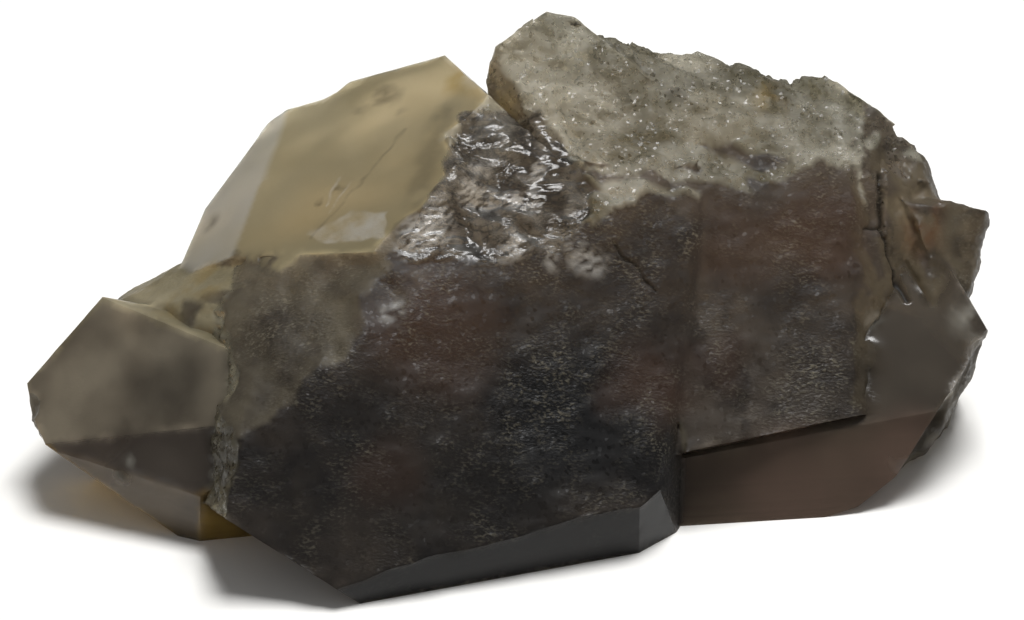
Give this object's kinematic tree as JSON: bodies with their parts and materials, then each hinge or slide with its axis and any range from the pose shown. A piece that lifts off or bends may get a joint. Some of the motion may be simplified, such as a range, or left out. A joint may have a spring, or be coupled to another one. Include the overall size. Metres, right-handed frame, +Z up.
{
  "type": "smoky quartz crystal",
  "caption": "Smoky quartz specimen: stubby crystals grown together into one stone, with flat glassy faces, a pale crystal behind, a frosted top and a single point at one end.",
  "frame": {"origin": "middle of the stone's plan outline, on the flat it lies on", "axes": "+X along the stone, away from the single point, +Y to the broken back, +Z up"},
  "size_m": [0.1044, 0.059, 0.0439],
  "materials": {
    "smoky_quartz": "see-through brown-grey quartz, glassy on the flat faces, frosted and etched on the rest"
  },
  "bodies": {
    "root": {"smoky_quartz": "smoky_quartz"}
  },
  "joints": []
}
